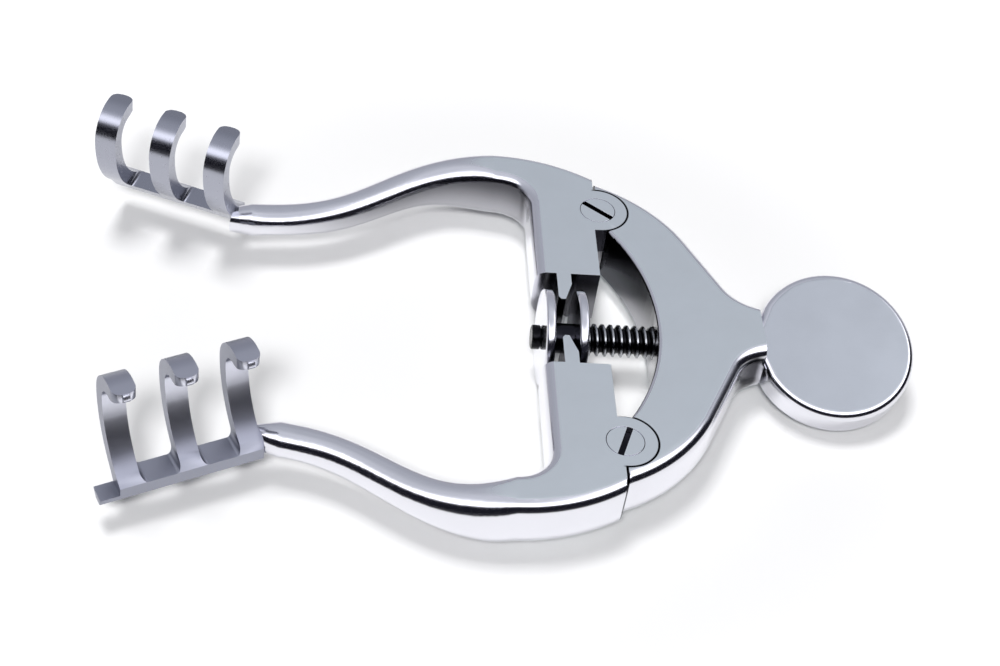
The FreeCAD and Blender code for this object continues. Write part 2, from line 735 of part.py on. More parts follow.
def build_disc():
    """Round thumb disc with a short stem, fixed to the end of the spindle."""
    centre = S.neck_end + S.disc_seat + S.disc_centre
    body = new_body("thumb_disc", along=centre, up=S.plate_depth / 2, turn=S.disc_turn,
                    axis=Vector(1, 0, 0))
    sketch = new_sketch(body, "face")
    shoulder_x = -S.disc_centre + S.stem_length
    shoulder_y = droot(S.disc_radius * S.disc_radius - shoulder_x * shoulder_x)
    lower = Corner(shoulder_x, -shoulder_y, S.disc_radius, 1)
    right = Corner(S.disc_radius, 0, S.disc_radius, 1)
    outline(sketch, [
        Corner(-S.disc_centre, S.stem_half),
        Corner(-S.disc_centre, -S.stem_half),
        lower,
        right,
        Corner(shoulder_x, shoulder_y),
    ])
    disc = pad(body, sketch, S.disc_thick, "disc", midplane=True)

    def rim(edge):
        flat = level(edge, S.disc_thick.value / 2) or level(edge, -S.disc_thick.value / 2)
        return flat and middle(edge).x > -S.disc_centre.value + 1e-3
    fillet(body, disc, rim, S.disc_round, "rounded rim")

    sketch = new_sketch(body, "tenon hole", "YZ_Plane", offset=(0, 0, -S.disc_centre))
    circle(sketch, 0, 0, S.tenon_radius)
    pocket(body, sketch, S.tenon_length, "tenon hole bore", reverse=True)
    return body


def build_screw(name, side, turn):
    """Slotted pivot screw, flush with the arm."""
    body = new_body(name, across=side * S.pivot_spread, turn=turn)
    sketch = new_sketch(body, "half section", "XZ_Plane")
    under_head = S.plate_depth - S.screw_head_depth
    # the half section stands on its side, so the revolution is about the upright axis
    outline(sketch, [
        Corner(0, S.screw_foot),
        Corner(S.screw_shank, S.screw_foot),
        Corner(S.screw_shank, under_head),
        Corner(S.screw_head, under_head),
        Corner(S.screw_head, S.plate_depth),
        Corner(0, S.plate_depth),
    ])
    feature = body.newObject("PartDesign::Revolution", "screw")
    feature.Profile = sketch
    feature.ReferenceAxis = (sketch, ["V_Axis"])
    feature.Angle = 360.0
    doc.recompute()
    sketch = new_sketch(body, "slot", "YZ_Plane")
    w, deep = S.slot_width / 2, S.plate_depth - S.slot_depth
    outline(sketch, [
        Corner(-w, deep),
        Corner(w, deep),
        Corner(w, S.plate_depth + S.cut_margin),
        Corner(-w, S.plate_depth + S.cut_margin),
    ])
    pocket(body, sketch, 4 * S.screw_head, "driver slot", midplane=True)
    return body


def main():
    pieces = [
        build_yoke(),
        build_arm("upper_arm", 1, S.upper_reach, S.upper_spread, S.upper_splay),
        build_arm("lower_arm", -1, S.lower_reach, S.lower_spread, S.lower_splay),
        build_rake("upper_rake", 1, S.upper_reach, S.upper_spread, S.upper_splay, S.upper_shift, False),
        build_rake("lower_rake", -1, S.lower_reach, S.lower_spread, S.lower_splay, S.lower_shift, True),
        build_screw("upper_pivot_screw", 1, S.slot_turn_upper),
        build_screw("lower_pivot_screw", -1, S.slot_turn_lower),
        build_spindle(),
        build_collar(),
        build_spool(),
        build_disc(),
    ]
    doc.recompute()
    for thing in doc.Objects:
        if "Invalid" in thing.State or "Error" in thing.State:
            raise RuntimeError("%s did not build: %s" % (thing.Label, thing.State))
    os.makedirs("parts", exist_ok=True)
    for piece in pieces:
        shape = piece.Shape
        if shape.isNull() or not shape.isValid() or len(shape.Solids) != 1:
            raise RuntimeError("%s is not one sound solid" % piece.Label)
        print("%-20s volume %8.2f mm3" % (piece.Label, shape.Volume))
    for piece in pieces:
        piece.Shape.exportStep("parts/%s.step" % piece.Label)


main()
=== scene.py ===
# %% [markdown]
# # A small self retaining retractor
# Two curved arms, pivoted in a bow shaped yoke, end in rakes with three blunt prongs. A thumb
# disc turns a threaded spindle, and a spool on the spindle swings both arms together.
# The shapes come from the CAD model, so this lesson is about stainless steel: how satin and
# polished steel differ, how to give a coarse thread its real groove, and how to light metal.

# %% Tools
import json
import math

import bmesh
import bpy
from mathutils import Matrix, Vector

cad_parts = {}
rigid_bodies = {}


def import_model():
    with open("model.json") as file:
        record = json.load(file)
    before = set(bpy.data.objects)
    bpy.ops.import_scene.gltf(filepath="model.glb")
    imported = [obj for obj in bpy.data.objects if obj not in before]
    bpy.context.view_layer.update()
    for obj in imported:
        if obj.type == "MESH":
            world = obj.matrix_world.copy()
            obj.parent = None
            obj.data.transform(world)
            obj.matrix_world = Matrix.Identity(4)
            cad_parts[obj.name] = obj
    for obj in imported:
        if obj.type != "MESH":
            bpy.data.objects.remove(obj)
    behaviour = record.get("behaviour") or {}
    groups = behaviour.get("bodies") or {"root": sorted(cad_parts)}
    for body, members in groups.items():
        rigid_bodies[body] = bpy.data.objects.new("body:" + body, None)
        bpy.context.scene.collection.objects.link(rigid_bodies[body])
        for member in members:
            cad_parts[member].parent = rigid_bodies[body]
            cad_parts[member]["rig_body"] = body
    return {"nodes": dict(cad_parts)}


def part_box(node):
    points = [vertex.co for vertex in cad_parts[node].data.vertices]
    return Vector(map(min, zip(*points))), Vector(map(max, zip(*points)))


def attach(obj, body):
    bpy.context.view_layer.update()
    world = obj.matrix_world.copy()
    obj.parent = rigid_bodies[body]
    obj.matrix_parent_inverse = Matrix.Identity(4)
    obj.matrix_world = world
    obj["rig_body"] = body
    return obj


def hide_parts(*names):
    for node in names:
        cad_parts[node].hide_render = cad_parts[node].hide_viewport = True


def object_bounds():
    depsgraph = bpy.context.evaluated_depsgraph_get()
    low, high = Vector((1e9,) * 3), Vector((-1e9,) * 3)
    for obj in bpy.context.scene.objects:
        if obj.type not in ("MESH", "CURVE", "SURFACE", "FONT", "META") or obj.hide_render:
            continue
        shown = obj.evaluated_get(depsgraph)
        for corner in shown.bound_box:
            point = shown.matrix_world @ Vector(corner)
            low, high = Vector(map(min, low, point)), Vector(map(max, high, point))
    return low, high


MM = 0.001
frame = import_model()
cad_low, cad_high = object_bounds()
print("pieces in the frame:", sorted(frame["nodes"]))
print("size in mm:", [round(v / MM, 1) for v in cad_high - cad_low])

# %% [markdown]
# ## Places that the looks need
# Everything is in metres, in the frame of the CAD model: X runs along the spindle to the thumb
# disc, Z points up. The boxes of the CAD nodes give the places, so they follow the model.

# %% Places read from the frame
spindle_low, spindle_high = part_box("threaded_spindle")
spool_low, spool_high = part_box("flanged_spool")
yoke_low, yoke_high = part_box("yoke")
disc_low, disc_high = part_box("thumb_disc")
screw_low, screw_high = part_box("upper_pivot_screw")

PIVOT = (screw_low + screw_high) / 2
AXIS_HEIGHT = (spindle_low.z + spindle_high.z) / 2
THREAD_RADIUS = (spindle_high.z - spindle_low.z) / 2
PLATE_TOP = yoke_high.z
print("spindle axis at", round(AXIS_HEIGHT / MM, 2), "mm, radius", round(THREAD_RADIUS / MM, 2))

# %% [markdown]
# ## Writing materials as sums
# A material is a network of nodes. Drawn by hand it is easy to lose the thread, so a small class
# wraps one output socket, and `a * b + 0.2` then adds the Math nodes for us. Every other node
# comes from one method, which sets its settings first and then fills or links its sockets.


# %% A wrapper for sockets
class Signal:
    """An output socket that can be used in sums."""

    def __init__(self, tree, socket):
        self.tree, self.socket = tree, socket

    def _math(self, operation, first, second=None):
        values = {0: first} if second is None else {0: first, 1: second}
        return node(self.tree, "ShaderNodeMath", {"operation": operation}, values)

    def __add__(self, other):
        return self._math("ADD", self, other)

    def __radd__(self, other):
        return self._math("ADD", other, self)

    def __sub__(self, other):
        return self._math("SUBTRACT", self, other)

    def __rsub__(self, other):
        return self._math("SUBTRACT", other, self)

    def __mul__(self, other):
        return self._math("MULTIPLY", self, other)

    def __rmul__(self, other):
        return self._math("MULTIPLY", other, self)

    def __abs__(self):
        return self._math("ABSOLUTE", self)


def node(tree, kind, settings=None, values=None, out=0):
    """Add any node: its settings first, then the values or links of its sockets."""
    made = tree.nodes.new(kind)
    for name, value in (settings or {}).items():
        if name == "stops":
            ramp = made.color_ramp
            while len(ramp.elements) < len(value):
                ramp.elements.new(0.5)
            for stop, (place, colour) in zip(ramp.elements, value):
                stop.position = place
                stop.color = (*colour, 1.0)
        else:
            setattr(made, name, value)
    for name, value in (values or {}).items():
        socket = made.inputs[name]
        if isinstance(value, Signal):
            tree.links.new(value.socket, socket)
        else:
            socket.default_value = value
    return Signal(tree, made.outputs[out])


print("sockets can be added, subtracted and multiplied")

# %% [markdown]
# A material starts empty and is closed with a shader. All the metals here share one ending:
# a colour, full metalness, a roughness, and a faint relief that a Bump node turns into normals.


# %% Open and close a material
def new_material(name):
    """An empty material with its output node, ready to be filled."""
    material = bpy.data.materials.new(name)
    material.use_nodes = True
    material.node_tree.nodes.clear()
    material.node_tree.nodes.new("ShaderNodeOutputMaterial")
    return material


def close_material(material, shader):
    """Link a shader to the output of its material."""
    tree = material.node_tree
    output = next(n for n in tree.nodes if n.type == "OUTPUT_MATERIAL")
    tree.links.new(shader.socket, output.inputs["Surface"])
    return material


def metal(material, colour, rough, relief, strength):
    """Close a material as bare metal, with a relief two hundredths of a millimetre deep."""
    tree = material.node_tree
    depths = {"Height": relief, "Strength": strength, "Distance": 0.02 * MM}
    bump = node(tree, "ShaderNodeBump", {}, depths)
    values = {"Base Color": colour, "Metallic": 1.0, "Roughness": rough, "Normal": bump}
    return close_material(material, node(tree, "ShaderNodeBsdfPrincipled", {}, values))


print("materials can be opened and closed")

# %% [markdown]
# A mask is a value from 0 to 1 that says where something is. Masks come from the place of a
# point, from the way that the surface faces or from noise, and they are joined by multiplying.


# %% Masks, patterns and mixtures
def smooth_mask(signal, low, high):
    """0 below low, 1 above high, and a soft step between."""
    values = {"Value": signal, "From Min": low, "From Max": high}
    return node(signal.tree, "ShaderNodeMapRange", {"interpolation_type": "SMOOTHSTEP"}, values)


def band(signal, low, high, soft):
    """1 between low and high, fading out over the soft width on both sides."""
    return smooth_mask(signal, low - soft, low) * (1.0 - smooth_mask(signal, high, high + soft))


def part_of(vector, letter):
    """The X, Y or Z of a vector."""
    return node(vector.tree, "ShaderNodeSeparateXYZ", {}, {"Vector": vector}, letter)


def length_of(vector):
    return node(vector.tree, "ShaderNodeVectorMath", {"operation": "LENGTH"}, {0: vector}, "Value")


def agreement(facing, direction):
    """1 where a surface faces the direction, 0 where it is side on, and -1 where it faces away."""
    values = {0: facing, 1: direction}
    return node(facing.tree, "ShaderNodeVectorMath", {"operation": "DOT_PRODUCT"}, values, "Value")


def noise(where, scale, detail):
    values = {"Vector": where, "Scale": scale, "Detail": detail}
    return node(where.tree, "ShaderNodeTexNoise", {}, values)


def moved(place, shift, scale):
    """Coordinates that are stretched and then shifted, to centre a pattern or give it a grain."""
    values = {"Vector": place, "Location": shift, "Scale": scale}
    return node(place.tree, "ShaderNodeMapping", {}, values)


def mixed(factor, first, second):
    """Mix two colours; a colour is three numbers or a signal."""
    colours = [c if isinstance(c, Signal) else (*c, 1.0) for c in (first, second)]
    values = {0: factor, 6: colours[0], 7: colours[1]}
    return node(factor.tree, "ShaderNodeMix", {"data_type": "RGBA"}, values, 2)


print("masks, patterns and mixtures ready")

# %% [markdown]
# ## Painted shade in the narrow places
# The seams round the half laps show as fine dark lines where two pieces meet. The walls in
# the yoke's window get painted shade, nearly black, and the sides of the neck get a painted dark
# reflection. Each place is found by its own mask.

# %% Oil in the seams
SEAM_RADIUS = 2.74 * MM
SEAM_HALF = 0.07 * MM
SEAM_FADE = 0.05 * MM
ARC_START = 0.5 * MM
STEP_LOW = -0.25 * MM
STEP_HIGH = 0.05 * MM
STEP_FADE = 0.06 * MM
STEP_ACROSS = (16.2 * MM, 16.6 * MM)
STEP_FACING = (0.90, 0.99)


def seam_oil(place, upward):
    """Fine lines: an arc round each pivot, and a straight step outside it."""
    along = part_of(place, "X")
    across = abs(part_of(place, "Y"))
    offset_x = along - PIVOT.x
    offset_y = across - PIVOT.y
    square = offset_x * offset_x + offset_y * offset_y
    radius = node(place.tree, "ShaderNodeMath", {"operation": "SQRT"}, {0: square})
    arc = band(radius, SEAM_RADIUS - SEAM_HALF, SEAM_RADIUS + SEAM_HALF, SEAM_FADE)
    arc = arc * smooth_mask(along, PIVOT.x - ARC_START, PIVOT.x)
    step = band(along, PIVOT.x + STEP_LOW, PIVOT.x + STEP_HIGH, STEP_FADE)
    step = step * smooth_mask(across, *STEP_ACROSS)
    return arc + step * (1.0 - smooth_mask(abs(upward), *STEP_FACING))


print("seams at", round(SEAM_RADIUS / MM, 2), "mm round the pivots")

# %% Painted shade on the walls
UPRIGHT = (0.30, 0.75)
WINDOW_ALONG = (-13.4 * MM, -4.3 * MM)
WINDOW_FADE = 1.3 * MM
WINDOW_END = (11.8 * MM, 12.3 * MM)
WINDOW_RISE = (0.0, 4.5 * MM)
NECK_ALONG = (0.5 * MM, 3.2 * MM)
NECK_ACROSS = (2.8 * MM, 3.2 * MM)
# the sides of the neck get a painted dark reflection
NECK_DARK_REFLECTION = 0.96
SHOULDER_SIDE = (6.0 * MM, 9.0 * MM)
SHOULDER_FACING = (-0.5, -0.1)
SHOULDER_START = (-40.0 * MM, -25.0 * MM)
SHOULDER_END = (-14.9 * MM, -14.7 * MM)
SHOULDER_RISE = (1.0 * MM, 4.5 * MM)


def rising(place, foot, more, rise):
    """As much painted shade as foot at the bottom of a wall, and that much more at its top."""
    return foot + more * smooth_mask(part_of(place, "Z"), *rise)


def window_shade(place):
    """Painted shade on the walls in the yoke's window and the arms' tails, darker toward the top.
    """
    inside = band(part_of(place, "X"), *WINDOW_ALONG, WINDOW_FADE)
    inside = inside * (1.0 - smooth_mask(abs(part_of(place, "Y")), *WINDOW_END))
    return inside * rising(place, 0.62, 0.38, WINDOW_RISE)


def shoulder_dark_reflection(place, facing):
    """Painted dark reflection on the near wall of the upper arm's shoulder, which faces the
    window.
    """
    along = part_of(place, "X")
    near = 1.0 - smooth_mask(part_of(facing, "Y"), *SHOULDER_FACING)
    near = near * smooth_mask(part_of(place, "Y"), *SHOULDER_SIDE)
    near = near * smooth_mask(along, *SHOULDER_START)
    near = near * (1.0 - smooth_mask(along, *SHOULDER_END))
    return near * rising(place, 0.50, 0.42, SHOULDER_RISE)


def plate_shade_and_seams(place, upward, facing):
    """Painted shade on the window's walls, a painted dark reflection at the neck, and dark seams.
    """
    upright = 1.0 - smooth_mask(abs(upward), *UPRIGHT)
    neck = smooth_mask(part_of(place, "X"), *NECK_ALONG)
    neck = neck * smooth_mask(abs(part_of(place, "Y")), *NECK_ACROSS) * NECK_DARK_REFLECTION
    walls = upright * (window_shade(place) + neck + shoulder_dark_reflection(place, facing))
    most = {0: walls, 1: seam_oil(place, upward)}
    return node(place.tree, "ShaderNodeMath", {"operation": "MAXIMUM"}, most)


print("the window is painted_dark from", [round(v / MM, 1) for v in WINDOW_ALONG], "mm along the spindle")

# %% Painted shade in the spool's groove and in the screws' slots
FLANGE = 0.86 * MM
GROOVE_FADE = 0.05 * MM
SLOT_DEPTHS = (0.30 * MM, 0.10 * MM)


def groove_shade(place, upward, facing):
    """Painted shade between the flanges of the spool."""
    groove = (spool_low.x + FLANGE, spool_high.x - FLANGE)
    return band(part_of(place, "X"), *groove, GROOVE_FADE)


def slot_shade(place, upward, facing):
    """Painted shade at the bottom of a screw's slot."""
    deep, shallow = SLOT_DEPTHS
    return 1.0 - smooth_mask(part_of(place, "Z"), PLATE_TOP - deep, PLATE_TOP - shallow)


print("screws are painted_dark from", round(SLOT_DEPTHS[0] / MM, 2), "mm below the plates")

# %% [markdown]
# ## Painted highlight on the lower rake
# The lower rake is rougher than the upper one and painted darker as painted shade. It gets a
# painted highlight on the tops, on the inside of the prongs, and most of all on the tips. A
# surface is found by the way that it faces, and the tips by their height as well.

# %% Where the lower rake gets its painted highlight
HOOK_INSIDE = (0.357, -0.865, 0.342)
INSIDE_FACING = (0.92, 0.99)
INSIDE_HIGHLIGHT = 0.55
TOP_FACING = (0.80, 0.95)
TOP_HIGHLIGHT = 0.40
TIP_FACING = (0.80, 0.90)
TIP_HEIGHT = (6.5 * MM, 7.5 * MM)


def hook_highlight(place, upward, facing):
    """A little painted highlight inside the prongs and on the tops, and a full one on the tips."""
    inside = agreement(facing, HOOK_INSIDE)
    tips = smooth_mask(inside, *TIP_FACING) * smooth_mask(part_of(place, "Z"), *TIP_HEIGHT)
    tops = smooth_mask(upward, *TOP_FACING) * TOP_HIGHLIGHT
    return smooth_mask(inside, *INSIDE_FACING) * INSIDE_HIGHLIGHT + tops + tips


print("hooks open toward", HOOK_INSIDE)

# %% [markdown]
# ## Stainless steel, satin and polished
# The maker grinds the flat faces of the plates to a fine satin, which looks an even cool grey,
# and buffs the rounded walls and the rods, which mirror the room in bands of white and dark.
# Both are the same metal. Mainly the roughness differs, and where it changes can be read from
# the way that the surface faces: square to the flat face is ground, anything that rolls over
# the edge is buffed. The disc is tilted, so its own face is the measure there.

# %% Colours and finishes
SATIN_COLOUR = (0.930, 0.985, 1.000)
BUFFED_COLOUR = (0.800, 0.800, 0.845)
UPPER_RAKE_COLOUR = (0.400, 0.410, 0.470)
# the lower rake is painted darker than the upper one, as painted shade
LOWER_RAKE_SHADED_COLOUR = (0.280, 0.290, 0.345)
# a painted highlight for the lower rake's tops, prong insides and tips
RAKE_HIGHLIGHT_COLOUR = (0.800, 0.810, 0.900)
# the disc's satin is painted darker than the plates', as painted shade against the lamps' glare
DISC_SHADED_COLOUR = (0.530, 0.560, 0.600)
# painted shade on walls, in the spool's groove and in the screws' slots, and dark seams
SHADE_AND_SEAM_COLOUR = (0.020, 0.020, 0.026)
SATIN_ROUGHNESS = 0.42
BUFFED_ROUGHNESS = 0.16
UPPER_RAKE_ROUGHNESS = 0.26
LOWER_RAKE_ROUGHNESS = 0.38
CLOUD_SCALE = 240.0
SATIN_CLOUD = 0.88
BUFFED_CLOUD = 0.95
GRAIN_STRETCH = (900.0, 9000.0, 9000.0)
SCUFF_STRETCH = (4200.0, 1500.0, 2400.0)
SCRATCHED = (0.60, 0.72)
STEEL_RELIEF = 0.05
UNMOVED = (0.0, 0.0, 0.0)
LEVEL = (0.0, 0.0, 1.0)
SATIN_FACING = (0.975, 0.998)
SATIN_FADE = 2.5 * MM


def steel(name, satin_from=None, face=LEVEL, satin_colour=SATIN_COLOUR,
          buffed_colour=BUFFED_COLOUR, buffed_rough=BUFFED_ROUGHNESS, shade_and_seams=None, painted_highlight=None):
    """Buffed steel, satin on the faces square to a direction beyond satin_from (along X)."""
    material = new_material(name)
    tree = material.node_tree
    place = node(tree, "ShaderNodeTexCoord", {}, {}, "Object")
    facing = node(tree, "ShaderNodeTexCoord", {}, {}, "Normal")
    square = agreement(facing, face)

    cloud = noise(place, CLOUD_SCALE, 4.0)
    scuff = noise(moved(place, UNMOVED, SCUFF_STRETCH), 1.0, 6.0)
    scratch = smooth_mask(scuff, *SCRATCHED)
    colour = mixed(cloud, buffed_colour, tuple(c * BUFFED_CLOUD for c in buffed_colour))
    rough = buffed_rough + (cloud - 0.5) * 0.06 + scratch * 0.05
    relief = scratch * 0.15
    # painted highlight on the lower rake
    if painted_highlight:
        colour = mixed(painted_highlight(place, square, facing), colour, RAKE_HIGHLIGHT_COLOUR)
    if satin_from is not None:
        ground = smooth_mask(abs(square), *SATIN_FACING)
        ground = ground * smooth_mask(part_of(place, "X"), satin_from - SATIN_FADE, satin_from)
        grain = noise(moved(place, UNMOVED, GRAIN_STRETCH), 1.0, 2.0)
        satin = mixed(cloud, satin_colour, tuple(c * SATIN_CLOUD for c in satin_colour))
        satin_rough = SATIN_ROUGHNESS + (cloud - 0.5) * 0.16 + (grain - 0.5) * 0.10
        colour = mixed(ground, colour, satin)
        rough = rough + ground * (satin_rough - rough)
        relief = grain * ground * 0.7 + relief
    # painted shade and dark seams, mixed in by their mask
    if shade_and_seams:
        colour = mixed(shade_and_seams(place, square, facing), colour, SHADE_AND_SEAM_COLOUR)
    return metal(material, colour, rough, relief, STEEL_RELIEF)


print("the satin's clouds are", round(1.0 / CLOUD_SCALE / MM, 1), "mm wide")

# %% Satin and polished steel
ALL_ALONG = -30.0 * MM
ARM_SHOULDER = -18.5 * MM
disc_sides = frame["nodes"]["thumb_disc"].data.polygons
disc_face = max(disc_sides, key=lambda side: side.area * side.normal.z)

yoke_steel = steel("satin yoke steel", satin_from=ALL_ALONG, shade_and_seams=plate_shade_and_seams)
arm_steel = steel("satin arm steel", satin_from=ARM_SHOULDER, shade_and_seams=plate_shade_and_seams)
upper_rake_steel = steel("upper rake steel", buffed_colour=UPPER_RAKE_COLOUR,
                         buffed_rough=UPPER_RAKE_ROUGHNESS)
# the lower rake: painted darker as painted shade, with a painted highlight
lower_rake_steel = steel("lower rake steel", buffed_colour=LOWER_RAKE_SHADED_COLOUR,
                         buffed_rough=LOWER_RAKE_ROUGHNESS, painted_highlight=hook_highlight)
screw_steel = steel("satin screw steel", satin_from=ALL_ALONG, shade_and_seams=slot_shade)
spool_steel = steel("buffed spool steel", shade_and_seams=groove_shade)
# the disc's satin colour is painted darker, as painted shade
disc_steel = steel("satin disc steel", satin_from=ALL_ALONG, face=tuple(disc_face.normal),
                   satin_colour=DISC_SHADED_COLOUR)
print("the disc faces", [round(v, 3) for v in disc_face.normal])
print("the plates are", yoke_steel.name, "and", arm_steel.name)

# %% [markdown]
# ## Darkened thread
# The spindle is darker than the plates, and the tool left its grooves rough. The grooves are
# painted near black as painted shade, and the crests keep the steel's own grey. The distance
# from the spindle's axis tells crest from groove, so the same sum works all along the screw.

# %% Dark steel with painted shade in the grooves
CREST_COLOUR = (0.42, 0.43, 0.45)
GROOVE_SHADE_COLOUR = (0.012, 0.012, 0.014)
CREST_DEPTHS = (0.22 * MM, 0.02 * MM)
OIL_SCALE = 900.0
THREAD_RELIEF = 0.1


def darkened_thread_steel():
    """Dark steel whose thread grooves are painted near black as painted shade."""
    material = new_material("darkened thread steel")
    tree = material.node_tree
    place = node(tree, "ShaderNodeTexCoord", {}, {}, "Object")
    radius = length_of(moved(place, (0.0, 0.0, -AXIS_HEIGHT), (0.0, 1.0, 1.0)))
    deep, shallow = CREST_DEPTHS
    crest = smooth_mask(radius, THREAD_RADIUS - deep, THREAD_RADIUS - shallow)
    cloud = noise(place, OIL_SCALE, 4.0)
    # the grooves get painted shade, the crests keep the steel's own grey
    colour = mixed(crest, GROOVE_SHADE_COLOUR, CREST_COLOUR)
    rough = 0.28 + crest * -0.08 + (cloud - 0.5) * 0.2
    return metal(material, colour, rough, cloud, THREAD_RELIEF)


thread_steel = darkened_thread_steel()
print("thread material:", thread_steel.name)

# %% [markdown]
# ## Dressing the CAD pieces
# The CAD nodes arrive as loose triangles with knife sharp edges. Real edges are broken by a
# touch of the file, and that thin bevel is what catches the light. So each node is copied, its
# triangles are merged, flat faces are dissolved into single faces, and the sharp edges get a
# narrow bevel. The copy then stands for the node.


# %% From a bmesh to an object
def as_object(work, name, material):
    """Turn a bmesh into an object of the scene with one material."""
    mesh = bpy.data.meshes.new(name)
    work.to_mesh(mesh)
    work.free()
    mesh.materials.append(material)
    made = bpy.data.objects.new(name, mesh)
    bpy.context.scene.collection.objects.link(made)
    return made


def shade(piece, crease):
    """Shade a piece smoothly, but keep the edges that are sharper than the crease, in degrees."""
    piece.data.shade_smooth()
    piece.data.set_sharp_from_angle(angle=math.radians(crease))


print("meshes become objects at the origin")

# %% Copy, merge, break the edges
MERGE_DISTANCE = 0.002 * MM
FLAT_ANGLE = math.radians(0.6)
SHARP_ANGLE = math.radians(32.0)
PIECE_CREASE = 38.0


def dressed(node_name, piece_name, material, slot, edge):
    """A copy of a CAD node with its edges broken, shown in its place."""
    source = frame["nodes"][node_name]
    work = bmesh.new()
    work.from_mesh(source.data)
    bmesh.ops.remove_doubles(work, verts=work.verts, dist=MERGE_DISTANCE)
    bmesh.ops.dissolve_limit(work, angle_limit=FLAT_ANGLE, verts=work.verts, edges=work.edges)
    sharp = [e for e in work.edges if e.is_manifold and e.calc_face_angle(0.0) > SHARP_ANGLE]
    bmesh.ops.bevel(work, geom=sharp, offset=edge, offset_type="OFFSET", affect="EDGES",
                    segments=2, profile=0.5, material=-1, clamp_overlap=True)
    piece = as_object(work, piece_name, material)
    shade(piece, PIECE_CREASE)
    # flat faces keep their own normal, and the narrow bevels roll over between them
    weighted = piece.modifiers.new("flat faces stay flat", "WEIGHTED_NORMAL")
    weighted.keep_sharp = True
    weighted.weight = 80
    body = source["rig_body"]
    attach(piece, body)
    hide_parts(node_name)
    print(piece_name, "faces", len(piece.data.polygons))


# %% Dress every piece but the spindle
PLATE_EDGE = 0.10 * MM
RAKE_EDGE = 0.16 * MM
SCREW_EDGE = 0.07 * MM
SPOOL_EDGE = 0.06 * MM
COLLAR_EDGE = 0.10 * MM
PIECES = [
    ("yoke", "yoke_skin", yoke_steel, "satin_steel", PLATE_EDGE),
    ("upper_arm", "upper_arm_skin", arm_steel, "satin_steel", PLATE_EDGE),
    ("lower_arm", "lower_arm_skin", arm_steel, "satin_steel", PLATE_EDGE),
    ("upper_rake", "upper_rake_skin", upper_rake_steel, "polished_steel", RAKE_EDGE),
    ("lower_rake", "lower_rake_skin", lower_rake_steel, "polished_steel", RAKE_EDGE),
    ("upper_pivot_screw", "upper_screw_skin", screw_steel, "satin_steel", SCREW_EDGE),
    ("lower_pivot_screw", "lower_screw_skin", screw_steel, "satin_steel", SCREW_EDGE),
    ("flanged_spool", "spool_skin", spool_steel, "polished_steel", SPOOL_EDGE),
    ("retaining_collar", "collar_skin", thread_steel, "dark_steel", COLLAR_EDGE),
    ("thumb_disc", "thumb_disc_skin", disc_steel, "polished_steel", PLATE_EDGE),
]
for piece in PIECES:
    dressed(*piece)

# %% [markdown]
# ## The spindle's thread
# A thread is a groove that climbs as it turns. One tooth of the profile is drawn as five points,
# and a spin with a forward step per turn sweeps it into the whole thread. The ends are plain
# cylinders: the journal that carries the spool and the tenon that sits in the disc.

# %% Profile of the thread
PITCH = 0.7 * MM
THREAD_DEPTH = 0.36 * MM
ROOT_RADIUS = THREAD_RADIUS - THREAD_DEPTH
# one pitch of the profile: share of the pitch along X, and radius
TOOTH = [(0.0, ROOT_RADIUS), (0.30, THREAD_RADIUS), (0.50, THREAD_RADIUS), (0.80, ROOT_RADIUS),
         (1.0, ROOT_RADIUS)]
STEPS_PER_TURN = 32
JOURNAL_RADIUS = 0.78 * MM
ROD_SIDES = 48
THREAD_CREASE = 35.0
thread_start = spool_high.x + 0.05 * MM
thread_end = disc_low.x + 1.0 * MM
turns = math.floor((thread_end - thread_start) / PITCH) - 1
print("thread turns:", turns, "from", round(thread_start / MM, 2), "mm")


# %% Spin the thread
def ring_along_x(work, x, radius):
    """A ring of edges round the spindle's axis."""
    made = bmesh.ops.create_circle(work, cap_ends=False, radius=radius, segments=ROD_SIDES)
    turn = Matrix.Rotation(math.radians(90.0), 4, "Y")
    place = Matrix.Translation((x, 0.0, AXIS_HEIGHT))
    bmesh.ops.transform(work, matrix=place @ turn, verts=made["verts"])
    return [e for e in work.edges if all(v in made["verts"] for v in e.verts)]


def plain_rod(work, first, last, radius):
    """A closed cylinder along X from first to last."""
    rings = ring_along_x(work, first, radius) + ring_along_x(work, last, radius)
    bmesh.ops.bridge_loops(work, edges=rings)
    bmesh.ops.holes_fill(work, edges=rings)


def build_spindle():
    """The threaded spindle with its journal, in the place of its plain CAD node."""
    work = bmesh.new()
    points = [work.verts.new((thread_start + x * PITCH, 0.0, AXIS_HEIGHT + r)) for x, r in TOOTH]
    edges = [work.edges.new(pair) for pair in zip(points[:-1], points[1:])]
    bmesh.ops.spin(work, geom=points + edges, cent=(0.0, 0.0, AXIS_HEIGHT), axis=(1.0, 0.0, 0.0),
                   dvec=(PITCH / STEPS_PER_TURN, 0.0, 0.0), angle=math.tau * turns,
                   steps=STEPS_PER_TURN * turns, use_merge=False)
    bmesh.ops.remove_doubles(work, verts=work.verts, dist=0.004 * MM)
    # a core closes the thread at both ends
    plain_rod(work, thread_start, thread_end, ROOT_RADIUS + 0.01 * MM)
    plain_rod(work, spindle_low.x, thread_start + 0.5 * PITCH, JOURNAL_RADIUS)
    bmesh.ops.recalc_face_normals(work, faces=work.faces)
    piece = as_object(work, "threaded_spindle_skin", thread_steel)
    shade(piece, THREAD_CREASE)
    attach(piece, "spindle")
    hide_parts("threaded_spindle")
    print("thread faces:", len(piece.data.polygons))


build_spindle()

# %% [markdown]
# ## Floor and light
# Metal shows what surrounds it, so the surroundings are the picture. White paper under the
# object lights the lower walls. Toward the camera the paper ends and the room is dark, which
# gives the thin black line along each rounded edge, and above the dark a broad white panel gives
# the white band beside it. The far side is an even grey, which keeps the satin faces calm.
# The paper and the sky are shown paler to the camera than they light, and least so close to the
# object, where the soft shadow has to stay.

